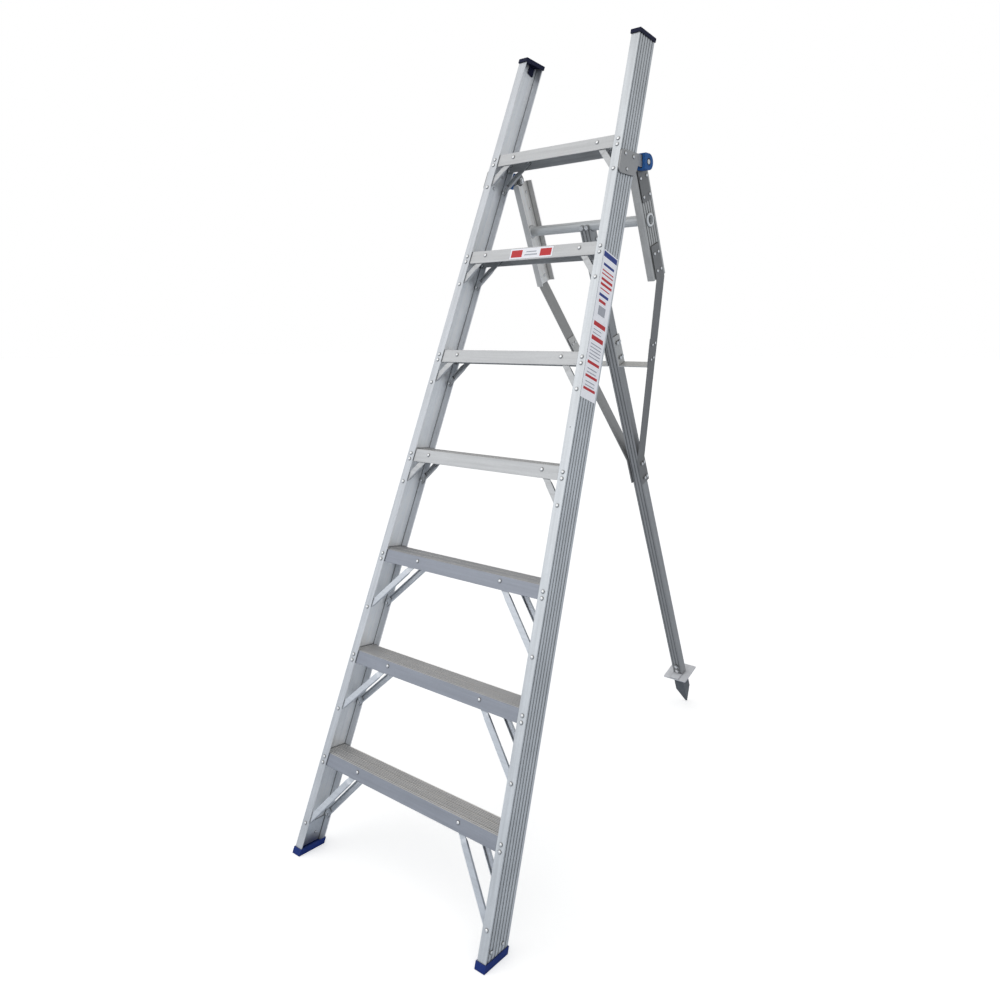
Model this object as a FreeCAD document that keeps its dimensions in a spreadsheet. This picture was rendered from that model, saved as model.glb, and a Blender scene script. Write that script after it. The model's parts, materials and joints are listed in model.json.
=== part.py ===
import FreeCAD, Part
import math
import os
from types import SimpleNamespace

import Sketcher
from FreeCAD import Placement, Rotation, Vector

# Orchard tripod ladder, millimetres. +X is the user's right, +Y points at the rear leg, +Z is up,
# and the origin is on the ground, halfway from the front feet to the spike of the rear leg.
# Front frame places are given across (X), behind its front face and along the stiles.
# Rear frame places are given across (X), behind its middle plane and down from the hinge axis.

DIMENSIONS = {
    # stance
    "front_lean": (20.0, "front frame from the vertical, degrees"),
    "rear_lean": (23.0, "rear frame from the vertical, degrees"),
    "taper": (3.7, "each stile from the centre line, degrees"),
    "stance": (834.5, "front feet in front of the origin"),
    # stiles
    "half_base": (368.0, "outer face of a stile from the centre line, at the ground"),
    "stile_top": (2286.5, "height of the cut tops of the stiles"),
    "flange": (26.5, "stile flange"),
    "stile_depth": (78.0, "stile web, front to rear"),
    "wall": (3.0, "wall of the stiles and rear channels"),
    "flute": (4.5, "width of a groove in a web"),
    "flute_depth": (1.3, "depth of a groove in a web"),
    "flute_pitch": (12.2, "spacing of the grooves"),
    "first_flute": (5.8, "first groove of a stile, behind its front face"),
    # treads
    "first_tread": (280.0, "front rivets of the lowest tread, along the stile"),
    "pitch": (305.0, "tread spacing along the stile"),
    "tread_angle": (14.5, "tread tops from square to the stiles, degrees"),
    "skirt_above": (23.0, "tread top above its front rivets"),
    "skirt": (36.5, "height of a tread skirt"),
    "sheet": (2.0, "tread and brace sheet"),
    "rib": (3.0, "width of a tread rib"),
    "rib_height": (0.7, "height of a tread rib"),
    "line": (1.6, "width of a sunk line in a tread top"),
    "line_depth": (1.0, "depth of a sunk line in a tread top"),
    "rivet_half_pitch": (8.5, "half the distance between the two rivets of a tread end"),
    "hole": (5.2, "rivet hole"),
    "pin_hole": (3.4, "small hole in the right stile's front flange"),
    "pin_hole_along": (1321.0, "small hole, along the front frame"),
    # braces
    "brace_above": (9.0, "upper brace rivet above the tread rivets"),
    "brace_width": (17.0, "width of a brace"),
    "brace_rib": (5.0, "height of a brace's side ribs"),
    "brace_tip": (4.5, "brace beyond its rivets"),
    "joggle": (39.5, "start of a brace's joggle, from its upper rivet"),
    "joggle_run": (10.0, "length of the joggle, and of the run-out of the side ribs"),
    "brace_flat": (12.0, "flat end of a brace, above its lower rivet"),
    "rib_sheet": (1.5, "thickness of a brace's side ribs"),
    "short_run": (75.0, "short braces, inward"),
    "short_drop": (78.0, "short braces' lower rivets, below the tread rivets"),
    "long_run": (154.0, "long braces, inward"),
    "long_drop": (154.0, "long braces' lower rivets, below the tread rivets"),
    "bottom_run": (156.0, "lowest braces, inward"),
    "bottom_drop": (188.0, "lowest braces' lower rivets, below the tread rivets"),
    "bottom_width": (18.0, "width of the lowest braces"),
    "foot_stiffener": (74.0, "height of the plates inside the stile feet"),
    # hinge
    "hinge_along": (2114.4, "hinge axis, along the stile"),
    "hinge_behind": (123.7, "hinge axis, behind the front face"),
    "pivot": (10.0, "pivot bolt"),
    "plate": (4.0, "front hinge bracket plate"),
    "arm_half": (15.5, "half height of the bracket arm"),
    "plate_low": (46.0, "lower edge of the bracket plate, below the axis"),
    "plate_heel": (59.0, "rear lower corner of the bracket plate, in front of the axis"),
    "plate_neck": (42.0, "start of the bracket arm, in front of the axis"),
    "plate_round": (12.0, "rounded corners of the bracket plate"),
    "arm_round": (14.0, "rounded end of the bracket arm"),
    "housing_radius": (22.0, "rounded rear of a hinge housing"),
    "housing_inner": (221.0, "inner face of a housing from the centre line"),
    "housing_outer": (246.0, "outer face of a housing from the centre line"),
    "housing_front": (20.0, "front of a housing, in front of the axis"),
    "slot_gap": (2.0, "gap round the bracket arm in a housing"),
    "recess": (20.0, "diameter of the bolt recess in a housing"),
    "recess_depth": (7.0, "depth of the bolt recess in a housing"),
    # rear frame
    "rear_half": (217.0, "outer face of a rear channel from the centre line"),
    "rear_flange": (21.0, "rear channel flange"),
    "rear_depth": (70.0, "rear channel web"),
    "rear_top": (7.0, "rear channel top, down from the axis"),
    "rear_bottom": (328.0, "rear channel bottom, down from the axis"),
    "strap": (3.5, "steel hinge strap, diagonal and cross strap"),
    "strap_width": (48.0, "hinge strap"),
    "strap_end": (104.0, "hinge strap's lower end, down from the axis"),
    "tube_down": (158.0, "cross tube, down from the axis"),
    "tube": (30.0, "cross tube, outside"),
    "bore": (24.0, "cross tube, inside"),
    "bead": (40.0, "swaged bead of the cross tube"),
    "leg_width": (40.0, "rear leg"),
    "leg_depth": (28.0, "rear leg flange"),
    "leg_wall": (2.5, "rear leg wall"),
    "leg_end": (1950.0, "rear leg's lower end, down from the axis"),
    "diagonal_width": (44.0, "diagonal strap"),
    "diagonal_top": (230.0, "diagonal strap's upper end, down from the axis"),
    "diagonal_bend": (332.0, "upper bend of a diagonal strap"),
    "diagonal_meet": (968.0, "lower bend of a diagonal strap, at the leg"),
    "diagonal_end": (1060.0, "diagonal strap's lower end"),
    "cross_width": (36.0, "cross strap"),
    "cross_top": (513.0, "cross strap's ear on the leg, down from the axis"),
    "cross_ear": (519.0, "cross strap's ear on the diagonal strap, down from the axis"),
    "cross_level": (614.0, "cross strap's flat, down from the axis"),
    # rear foot
    "foot_plate": (96.0, "side of the square foot plate"),
    "foot_sheet": (4.0, "foot plate"),
    "bracket": (3.0, "sheet of the leg's head and foot brackets"),
    "head_bracket_top": (149.0, "head bracket's upper end, down from the axis"),
    "head_bracket_end": (250.0, "head bracket's lower end, down from the axis"),
    "head_bracket_front": (7.0, "front of the head bracket, in front of the middle plane"),
    "foot_bracket_top": (1892.0, "foot bracket's upper end, down from the axis"),
    "spike": (40.0, "side of the spike's square part"),
    "spike_shoulder": (2036.0, "start of the spike's point, down from the axis"),
    "tip": (4.0, "blunt end of the spike"),
    "tip_behind": (5.0, "blunt end of the spike, behind the middle plane"),
    # plastic caps and shoes
    "shoe_wall": (2.5, "wall of a shoe"),
    "shoe_height": (18.0, "height of a shoe"),
    "sole": (6.0, "sole of a shoe"),
    "cap_tilt": (6.0, "tops of the stiles and caps, sloping down to the rear, degrees"),
    "cap_wall": (2.5, "overhang of a cap"),
    "cap_height": (12.0, "height of a cap"),
    "cap_top": (4.5, "top of a cap"),
    "tab_behind": (52.0, "middle of a cap's tongue, behind the front face"),
    "tab_width": (22.0, "tongue of a cap, inside the stile, across its web"),
    "tab_length": (24.0, "tongue of a cap, below the top of the stile"),
    "tab": (3.0, "tongue of a cap, sheet"),
    # clearances
    "fit": (0.3, "gap round a part that sits in another"),
    "running": (0.05, "gap round the pivot bolt in the strap"),
}

TREADS = 7
LONG_BRACE_TREADS = (2, 3)
SHORT_BRACE_TREADS = (4, 5, 6, 7)
STILE_FLUTES = 6
REAR_FLUTES = 5
LEG_FLUTES = 3
TREAD_RIBS = 11
SUNK_LINES = (1, 6)
SIDES = {"left": -1, "right": 1}
FASTENER_GAP = 0.1


class Size:
    """A number that remembers its formula, so that a feature can be bound to the sheet."""

    def __init__(self, number, text=None):
        self.number = float(number)
        self.text = text or repr(float(number))

    def __add__(self, other):
        other = as_size(other)
        return Size(self.number + other.number, f"({self.text} + {other.text})")

    def __radd__(self, other):
        return as_size(other) + self

    def __sub__(self, other):
        other = as_size(other)
        return Size(self.number - other.number, f"({self.text} - {other.text})")

    def __rsub__(self, other):
        return as_size(other) - self

    def __mul__(self, other):
        other = as_size(other)
        return Size(self.number * other.number, f"({self.text} * {other.text})")

    def __rmul__(self, other):
        return as_size(other) * self

    def __truediv__(self, other):
        other = as_size(other)
        return Size(self.number / other.number, f"({self.text} / {other.text})")

    def __neg__(self):
        return Size(-self.number, f"(0 - {self.text})")


def as_size(value):
    return value if isinstance(value, Size) else Size(value)


def sine(angle):
    return Size(math.sin(math.radians(angle.number)), f"sin({angle.text})")


def cosine(angle):
    return Size(math.cos(math.radians(angle.number)), f"cos({angle.text})")


def tangent(angle):
    return Size(math.tan(math.radians(angle.number)), f"tan({angle.text})")


def root_of_squares(first, second):
    number = math.hypot(first.number, second.number)
    return Size(number, f"sqrt({first.text}^2 + {second.text}^2)")


doc = FreeCAD.newDocument("TripodLadder")
sheet = doc.addObject("Spreadsheet::Sheet", "Sizes")
for row, (alias, (number, note)) in enumerate(DIMENSIONS.items(), start=1):
    sheet.set(f"A{row}", alias)
    sheet.set(f"B{row}", str(number))
    sheet.set(f"C{row}", note)
    sheet.setAlias(f"B{row}", alias)
doc.recompute()
S = SimpleNamespace(**{alias: Size(number, f"Sizes.{alias}") for alias, (number, _) in DIMENSIONS.items()})


# ---------------------------------------------------------------- frames of reference

def turn(axis, angle):
    return Rotation(axis, as_size(angle).number)


X_AXIS, Y_AXIS, Z_AXIS = Vector(1, 0, 0), Vector(0, 1, 0), Vector(0, 0, 1)


def move(x=0, y=0, z=0):
    return Placement(Vector(as_size(x).number, as_size(y).number, as_size(z).number), Rotation())


def front_frame():
    """Across, behind the front face, along the stiles."""
    return Placement(Vector(0, -S.stance.number, 0), turn(X_AXIS, -S.front_lean))


def stile_frame(side):
    """The outer face of a stile's web is at x = 0, and z runs along the stile."""
    return front_frame() * Placement(Vector(side * S.half_base.number, 0, 0), turn(Y_AXIS, -side * S.taper))


def hinge_point():
    return front_frame().multVec(Vector(0, S.hinge_behind.number, S.hinge_along.number))


def rear_frame():
    """Across, behind the middle plane, up from the hinge axis."""
    return Placement(hinge_point(), turn(X_AXIS, S.rear_lean))


def along_stile(height_along):
    """Length in the stile's own frame of its flange rivets that sit at a place along the front frame."""
    return (height_along + S.flange / 2 * sine(S.taper)) / cosine(S.taper)


def rivet_line(height_along):
    """Distance of a stile's flange rivets from the centre line."""
    return S.half_base - S.flange / 2 * cosine(S.taper) - along_stile(height_along) * sine(S.taper)


def tread_place(number):
    return S.first_tread + (number - 1) * S.pitch


def rear_rise():
    """How much further along the stiles a tread is at its rear skirt."""
    return (S.stile_depth - 2 * S.wall) * tangent(S.tread_angle)


# ---------------------------------------------------------------- modelling helpers

def bind(feature, name, size):
    size = as_size(size)
    setattr(feature, name, size.number)
    if "Sizes." in size.text:
        feature.setExpression(name, size.text)


def new_body(label, placement):
    body = doc.addObject("PartDesign::Body", label)
    body.Label = label
    body.Placement = placement
    return body


def new_sketch(body, role, offset=0):
    """A sketch on one of the body's own planes; the offset runs along the plane's normal."""
    sketch = body.newObject("Sketcher::SketchObject", "Sketch")
    plane = next(part for part in body.Origin.OriginFeatures if part.Role == role)
    sketch.AttachmentSupport = (plane, [""])
    sketch.MapMode = "FlatFace"
    lift(sketch, offset)
    return sketch


def lift(sketch, offset):
    """Offset a sketch along its plane's normal."""
    offset = as_size(offset)
    sketch.AttachmentOffset = move(0, 0, offset)
    if "Sizes." in offset.text:
        sketch.setExpression(".AttachmentOffset.Base.z", offset.text)


def fix_point(sketch, geometry, which, x, y):
    for kind, size in (("DistanceX", as_size(x)), ("DistanceY", as_size(y))):
        index = sketch.addConstraint(Sketcher.Constraint(kind, -1, 1, geometry, which, size.number))
        if "Sizes." in size.text:
            sketch.setExpression(f"Constraints[{index}]", size.text)


def draw_outline(sketch, corners):
    """A closed run of straight lines with every corner bound to its own two sizes."""
    corners = [(as_size(x), as_size(y)) for x, y in corners]
    start = sketch.GeometryCount
    points = [Vector(x.number, y.number, 0) for x, y in corners]
    count = len(points)
    for index in range(count):
        sketch.addGeometry(Part.LineSegment(points[index], points[(index + 1) % count]))
    for index in range(count):
        following = start + (index + 1) % count
        sketch.addConstraint(Sketcher.Constraint("Coincident", start + index, 2, following, 1))
    for index, (x, y) in enumerate(corners):
        fix_point(sketch, start + index, 1, x, y)


def draw_circles(sketch, centres, diameter):
    for x, y in centres:
        centre = Vector(as_size(x).number, as_size(y).number, 0)
        index = sketch.addGeometry(Part.Circle(centre, Z_AXIS, as_size(diameter).number / 2))
        fix_point(sketch, index, 3, x, y)
        constraint = sketch.addConstraint(Sketcher.Constraint("Diameter", index, as_size(diameter).number))
        if "Sizes." in as_size(diameter).text:
            sketch.setExpression(f"Constraints[{constraint}]", as_size(diameter).text)


def pad(body, sketch, length, symmetric=False, reverse=False):
    feature = body.newObject("PartDesign::Pad", "Pad")
    feature.Profile = sketch
    bind(feature, "Length", length)
    feature.SideType = "Symmetric" if symmetric else "One side"
    feature.Reversed = reverse
    return feature


def cut(body, sketch, length):
    """A pocket that reaches half its length to each side of the sketch."""
    feature = body.newObject("PartDesign::Pocket", "Pocket")
    feature.Profile = sketch
    bind(feature, "Length", length)
    feature.SideType = "Symmetric"
    return feature


def drill(body, role, centres, diameter, length, offset=0):
    sketch = new_sketch(body, role, offset)
    draw_circles(sketch, centres, diameter)
    return cut(body, sketch, length)


def revolve(body, corners):
    """Turn an outline, drawn as (radius, height) pairs, about the body's Z axis."""
    sketch = new_sketch(body, "XZ_Plane")
    draw_outline(sketch, corners)
    feature = body.newObject("PartDesign::Revolution", "Revolution")
    feature.Profile = sketch
    feature.ReferenceAxis = (sketch, ["V_Axis"])
    feature.Angle = 360
    return feature


def round_corners(body, positions, radius, axes):
    """Fillet the straight edges that pass through the given places, seen along the third axis."""
    doc.recompute()
    base = body.Tip
    solid = base.Shape
    first, second = axes
    names = []
    for index, edge in enumerate(solid.Edges, start=1):
        if len(edge.Vertexes) != 2:
            continue
        ends = [vertex.Point for vertex in edge.Vertexes]
        for place in positions:
            wanted = [as_size(value).number for value in place]
            misses = [abs(end[first] - wanted[0]) + abs(end[second] - wanted[1]) for end in ends]
            if max(misses) < 0.01:
                names.append(f"Edge{index}")
    feature = body.newObject("PartDesign::Fillet", "Fillet")
    feature.Base = (base, names)
    bind(feature, "Radius", radius)
    return feature


def box(label, sizes, placement):
    """A Part box whose sizes are bound, centred across and behind, standing on its placement."""
    solid = doc.addObject("Part::Box", label)
    for name, size in zip(("Length", "Width", "Height"), sizes):
        bind(solid, name, size)
    solid.Placement = placement
    return solid


def common(label, first, second):
    result = doc.addObject("Part::Common", label)
    result.Base = first
    result.Tool = second
    result.Label = label
    return result


def cut_away(label, base, tool):
    result = doc.addObject("Part::Cut", label)
    result.Base = base
    result.Tool = tool
    result.Label = label
    return result


def copies(label, pattern, placements):
    """Separate solids of one pattern, grouped as one node."""
    doc.recompute()
    solids = []
    for placement in placements:
        solid = pattern.Shape.copy()
        solid.Placement = placement
        solids.append(solid)
    group = doc.addObject("Part::Feature", label)
    group.Label = label
    group.Shape = Part.makeCompound(solids)
    return group


REACH = 4000


def level_slab(label, low, high):
    """A level slab that is larger than the ladder in plan."""
    return box(label, (REACH, REACH, high - low), move(-REACH / 2, -REACH / 2, low))


def top_slab(label, low, high):
    """A slab parallel to the sloping tops of the stiles, with heights from the middle of their ends."""
    middle = S.stile_depth / 2
    end = Vector(0, middle.number, level_place(middle, S.stile_top).number)
    slope = Placement(front_frame().multVec(end), turn(X_AXIS, -S.cap_tilt))
    return box(label, (REACH, REACH, high - low), slope * move(-REACH / 2, -REACH / 2, low))


def facing(point, direction, frame):
    """Place a fastener with its head at a point of a frame, facing a direction of that frame."""
    return frame * Placement(Vector(*[as_size(value).number for value in point]), Rotation(Z_AXIS, direction))


# ---------------------------------------------------------------- sections and fasteners

def fluted_channel(side, flange, depth, wall, near, flutes, first=None):
    """Channel section with its web outward, at x = 0, and grooves along the outside of the web."""
    if first is None:
        first = (depth - (flutes - 1) * S.flute_pitch) / 2
    corners = [(0, near)]
    for index in range(flutes):
        centre = near + first + index * S.flute_pitch
        for x, y in ((0, -1), (-S.flute_depth, -1), (-S.flute_depth, 1), (0, 1)):
            corners.append((x, centre + y * S.flute / 2))
    far = near + depth
    corners += [(0, far), (-flange, far), (-flange, far - wall), (-wall, far - wall)]
    corners += [(-wall, near + wall), (-flange, near + wall), (-flange, near)]
    return [(side * as_size(x), y) for x, y in corners]


def rivet(label, grip, diameter=5.0, head=10.5, head_height=3.0):
    """A domed rivet: the head stands on z = 0 and the set end is below the grip."""
    body = new_body(label, Placement())
    radius = diameter / 2
    set_radius = head * 0.36
    corners = [
        (0, head_height), (head * 0.2, head_height * 0.92), (head * 0.36, head_height * 0.68),
        (head * 0.46, head_height * 0.35), (head * 0.5, 0), (radius, 0), (radius, -grip),
        (set_radius, -grip), (set_radius, -grip - 1.2), (radius * 0.8, -grip - 1.8), (0, -grip - 1.8),
    ]
    revolve(body, corners)
    return body


def hexagon(width):
    radius = width / math.sqrt(3)
    return [(radius * math.cos(math.radians(60 * step)), radius * math.sin(math.radians(60 * step)))
            for step in range(6)]


def hex_bolt(label, diameter, across, head_height, shank, washer):
    """A hexagon bolt with a washer under the head; the washer stands on z = 0."""
    body = new_body(label, Placement())
    radius = as_size(diameter) / 2
    washer_radius = across * 0.62
    corners = [(0, washer), (washer_radius, washer), (washer_radius, 0),
               (radius, 0), (radius, -shank), (0, -shank)]
    revolve(body, corners)
    sketch = new_sketch(body, "XY_Plane", washer)
    draw_outline(sketch, hexagon(across))
    pad(body, sketch, head_height)
    return body


def hex_nut(label, diameter, across, height, washer):
    """A hexagon nut on a washer that lies on z = 0, threaded on from below."""
    body = new_body(label, Placement())
    bore = as_size(diameter) / 2 + FASTENER_GAP
    revolve(body, [(bore, 0), (across * 0.62, 0), (across * 0.62, -washer), (bore, -washer)])
    sketch = new_sketch(body, "XY_Plane", -washer)
    draw_outline(sketch, hexagon(across))
    draw_circles(sketch, [(0, 0)], 2 * bore)
    pad(body, sketch, height, reverse=True)
    return body


# ---------------------------------------------------------------- stiles, caps and shoes

def brace_cases():
    """For each tread: how far its braces run inward and how far below the tread they end."""
    cases = {1: (S.bottom_run, S.bottom_drop)}
    cases.update({tread: (S.long_run, S.long_drop) for tread in LONG_BRACE_TREADS})
    cases.update({tread: (S.short_run, S.short_drop) for tread in SHORT_BRACE_TREADS})
    return cases


def flange_hole_places(rise):
    """Places along the front frame of every hole in one flange of a stile."""
    places = []
    for tread, (_, drop) in brace_cases().items():
        centre = tread_place(tread) + rise
        places += [centre + S.rivet_half_pitch, centre - S.rivet_half_pitch, centre - drop]
    return places


BRACKET_RIVETS = ((-107.8, 6.9), (-66.0, 3.9), (-102.8, -33.3))
FOOT_RIVETS = ((14.0, 46.0), (56.0, 58.0))


def hinge_frame(side):
    """Level axes on the outer face of a stile's web, with the hinge axis at y = z = 0."""
    along = S.hinge_along / cosine(S.taper)
    level = Placement(Vector(0, S.hinge_behind.number, along.number), turn(X_AXIS, S.front_lean))
    return stile_frame(side) * level


def bracket_rivets_on_web():
    """The bracket's rivets in the stile's own frame, as (behind, along)."""
    along = S.hinge_along / cosine(S.taper)
    places = []
    for y, z in BRACKET_RIVETS:
        behind = S.hinge_behind + y * cosine(S.front_lean) - z * sine(S.front_lean)
        up = along + y * sine(S.front_lean) + z * cosine(S.front_lean)
        places.append((behind, up))
    return places


def make_stile(name, side):
    body = new_body(f"{name}_stile_bar", stile_frame(side))
    sketch = new_sketch(body, "XY_Plane")
    draw_outline(sketch, fluted_channel(side, S.flange, S.stile_depth, S.wall, Size(0),
                                        STILE_FLUTES, S.first_flute))
    pad(body, sketch, S.stile_top * 1.12)
    across = -side * S.flange / 2
    for rise, face in ((Size(0), Size(0)), (rear_rise(), -S.stile_depth)):
        centres = [(across, along_stile(place)) for place in flange_hole_places(rise)]
        drill(body, "XZ_Plane", centres, S.hole, 2 * S.wall + 2, face)
    web_holes = bracket_rivets_on_web() + [(as_size(y), as_size(z)) for y, z in FOOT_RIVETS]
    drill(body, "YZ_Plane", web_holes, S.hole, 2 * S.wall + 2)
    if name == "right":
        drill(body, "XZ_Plane", [(across, along_stile(S.pin_hole_along))], S.pin_hole, 2 * S.wall + 2)
    reach = level_slab(f"{name}_stile_reach", S.sole + S.fit, Size(REACH))
    standing = common(f"{name}_stile_standing", body, reach)
    return common(f"{name}_stile", standing, top_slab(f"{name}_stile_end", Size(-REACH), Size(0)))


def stile_block(label, side, margin):
    """A long block round a stile, with a margin on all four sides."""
    width = S.flange + 2 * margin
    depth = S.stile_depth + 2 * margin
    inner = -margin if side < 0 else -S.flange - margin
    length = S.stile_top * 1.15
    return box(label, (width, depth, length), stile_frame(side) * move(inner, -margin, Size(-120)))


def make_shoe(name, side):
    outer = stile_block(f"{name}_shoe_block", side, S.shoe_wall)
    shell = common(f"{name}_shoe_shell", outer, level_slab(f"{name}_shoe_slab", Size(0), S.shoe_height))
    socket_block = stile_block(f"{name}_socket_block", side, S.fit)
    slab = level_slab(f"{name}_socket_slab", S.sole, S.shoe_height * 2)
    return cut_away(f"{name}_foot", shell, common(f"{name}_socket", socket_block, slab))


def make_cap(name, side):
    """Plastic cap over the end of a stile, with a tongue down the inside of its web."""
    low = S.cap_top - S.cap_height
    outer = stile_block(f"{name}_cap_block", side, S.cap_wall)
    shell = common(f"{name}_cap_shell", outer, top_slab(f"{name}_cap_slab", low, S.cap_top))
    socket_block = stile_block(f"{name}_cap_socket_block", side, S.fit)
    slab = top_slab(f"{name}_cap_socket_slab", 2 * low, Size(FASTENER_GAP))
    hollow = cut_away(f"{name}_cap_shell_open", shell, common(f"{name}_cap_socket", socket_block, slab))
    inner = S.wall + S.fit if side < 0 else -S.wall - S.fit - S.tab
    near = S.tab_behind - S.tab_width / 2
    start = level_place(S.tab_behind, S.stile_top) - S.tab_length
    place = stile_frame(side) * move(inner, near, start)
    tongue = box(f"{name}_cap_tongue", (S.tab, S.tab_width, 2 * S.tab_length), place)
    cap = doc.addObject("Part::Fuse", f"{name}_top_cap")
    cap.Base = hollow
    slab = top_slab(f"{name}_cap_tongue_slab", -2 * S.tab_length, S.cap_top)
    cap.Tool = common(f"{name}_cap_tongue_cut", tongue, slab)
    cap.Label = f"{name}_top_cap"
    return cap


def level_place(behind, height):
    """Place along a stile of a point at a height above the ground, at a distance behind its face."""
    return height / cosine(S.front_lean) + behind * tangent(S.front_lean)


def make_foot_plate(name, side):
    """Stiffening plate inside the foot of a stile, riveted through the web."""
    body = new_body(f"{name}_foot_plate", stile_frame(side))
    near, far = S.wall + 1, S.stile_depth - S.wall - 1
    low, high = S.sole + 2, S.foot_stiffener
    corners = [(near, level_place(near, low)), (far, level_place(far, low)),
               (far, level_place(far, high)), (near, level_place(near, high))]
    sketch = new_sketch(body, "YZ_Plane", -side * S.wall)
    draw_outline(sketch, corners)
    pad(body, sketch, S.wall, reverse=side > 0)
    drill(body, "YZ_Plane", FOOT_RIVETS, S.hole, 4 * S.wall, -side * S.wall)
    return body


# ---------------------------------------------------------------- treads and braces

def tread_section():
    """Skirts that follow the stile flanges under a ribbed top with a few sunk lines."""
    near, far = S.wall, S.stile_depth - S.wall
    inside_near, inside_far = near + S.sheet, far - S.sheet
    top = S.skirt_above
    slope = tangent(S.tread_angle)
    top_run = (far - near) / cosine(S.tread_angle)
    corners = [(near, top - S.skirt), (near, top)]
    for index in range(TREAD_RIBS):
        sunk = index in SUNK_LINES
        width, rise = (S.line, -S.line_depth) if sunk else (S.rib, S.rib_height)
        centre = top_run * (index + 1) / (TREAD_RIBS + 1)
        for along, up in ((-1, 0), (-0.7, 1), (0.7, 1), (1, 0)):
            run = centre + along * width / 2
            across = near + run * cosine(S.tread_angle) - up * rise * sine(S.tread_angle)
            height = top + run * sine(S.tread_angle) + up * rise * cosine(S.tread_angle)
            corners.append((across, height))
    corners += [(far, top + rear_rise()), (far, top + rear_rise() - S.skirt)]
    corners += [(inside_far, top + rear_rise() - S.skirt)]
    under = S.sheet / cosine(S.tread_angle)
    corners += [(inside_far, top + (inside_far - near) * slope - under)]
    corners += [(inside_near, top + S.sheet * slope - under)]
    corners += [(inside_near, top - S.skirt)]
    return corners


def make_tread(number):
    place = tread_place(number)
    body = new_body(f"tread_{number}", front_frame() * move(0, 0, place))
    sketch = new_sketch(body, "YZ_Plane")
    draw_outline(sketch, tread_section())
    highest = place + S.skirt_above + rear_rise()
    half = S.half_base - highest * tangent(S.taper) - S.wall / cosine(S.taper) - S.fit
    pad(body, sketch, 2 * half, symmetric=True)
    run, drop = brace_cases()[number]
    for rise, face in ((Size(0), -S.wall), (rear_rise(), S.wall - S.stile_depth)):
        centres = []
        for side in (-1, 1):
            for step in (-1, 1):
                offset = rise + step * S.rivet_half_pitch
                centres.append((side * rivet_line(place + offset), offset))
            centres.append((side * (rivet_line(place + rise - drop) - run), rise + S.brace_above))
        drill(body, "XZ_Plane", centres, S.hole, 4 * S.sheet, face)
    return body


def make_brace(label, run, drop, width):
    """A pressed strip with side ribs: origin at its upper rivet, X down the strip, Y off the sheet."""
    length = root_of_squares(run, drop + S.brace_above)
    body = new_body(label, Placement())
    end = length + S.brace_tip
    sketch = new_sketch(body, "XY_Plane")
    bend, bent = S.joggle, S.joggle + S.joggle_run
    flat = length - S.brace_flat
    draw_outline(sketch, [
        (-S.brace_tip, 0), (bend, 0), (bent, -S.sheet), (end, -S.sheet), (end, 0), (flat, 0),
        (flat - S.joggle_run, S.brace_rib), (bent, S.brace_rib), (bend, S.sheet), (-S.brace_tip, S.sheet),
    ])
    pad(body, sketch, width, symmetric=True)
    channel = new_sketch(body, "XY_Plane")
    above = 2 * S.brace_rib
    draw_outline(channel, [(bend, S.sheet), (bent, 0), (flat - S.joggle_run, 0),
                           (flat - S.joggle_run, above), (bend, above)])
    cut(body, channel, width - 2 * S.rib_sheet)
    drill(body, "XZ_Plane", [(0, 0), (length, 0)], S.hole, 40)
    return body


def brace_places(treads):
    """A placement for the four braces of each tread, and their upper and lower rivet points."""
    places, upper, lower = [], [], []
    for tread in treads:
        run, drop = brace_cases()[tread]
        for side in (-1, 1):
            for rise, facing_y, skin in ((Size(0), 1, S.wall + S.sheet),
                                         (rear_rise(), -1, S.stile_depth - S.wall - S.sheet)):
                foot = tread_place(tread) + rise - drop
                foot_across = side * rivet_line(foot).number
                head_across = foot_across - side * run.number
                head = (tread_place(tread) + rise + S.brace_above).number
                down = Vector(foot_across - head_across, 0, foot.number - head).normalize()
                out = Vector(0, facing_y, 0)
                axes = Rotation(down, out, down.cross(out), "XYZ")
                places.append(front_frame() * Placement(Vector(head_across, skin.number, head), axes))
                upper.append((head_across, head, facing_y))
                lower.append((foot_across, foot.number, facing_y))
    return places, upper, lower


# ---------------------------------------------------------------- hinge on the front frame

def make_bracket(name, side):
    """Plate on the stile's web with a level arm that carries the pivot bolt."""
    body = new_body(f"{name}_hinge_bracket", hinge_frame(side))
    top, bottom = S.arm_half + 1, -S.plate_low
    front_top = -S.hinge_behind / cosine(S.front_lean) + top * tangent(S.front_lean) + 1
    front_bottom = -S.hinge_behind / cosine(S.front_lean) + bottom * tangent(S.front_lean) + 1
    arm_low = -S.arm_half
    corners = [(front_top, top), (front_bottom, bottom), (-S.plate_heel, bottom), (-S.plate_neck, arm_low),
               (S.arm_half, arm_low), (S.arm_half, top)]
    sketch = new_sketch(body, "YZ_Plane")
    draw_outline(sketch, corners)
    pad(body, sketch, S.plate, reverse=side < 0)
    round_corners(body, corners[:3], S.plate_round, (1, 2))
    round_corners(body, corners[4:], S.arm_round, (1, 2))
    drill(body, "YZ_Plane", BRACKET_RIVETS, S.hole, 4 * S.plate)
    drill(body, "YZ_Plane", [(0, 0)], S.pivot + 1.2, 4 * S.plate)
    return body


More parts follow.
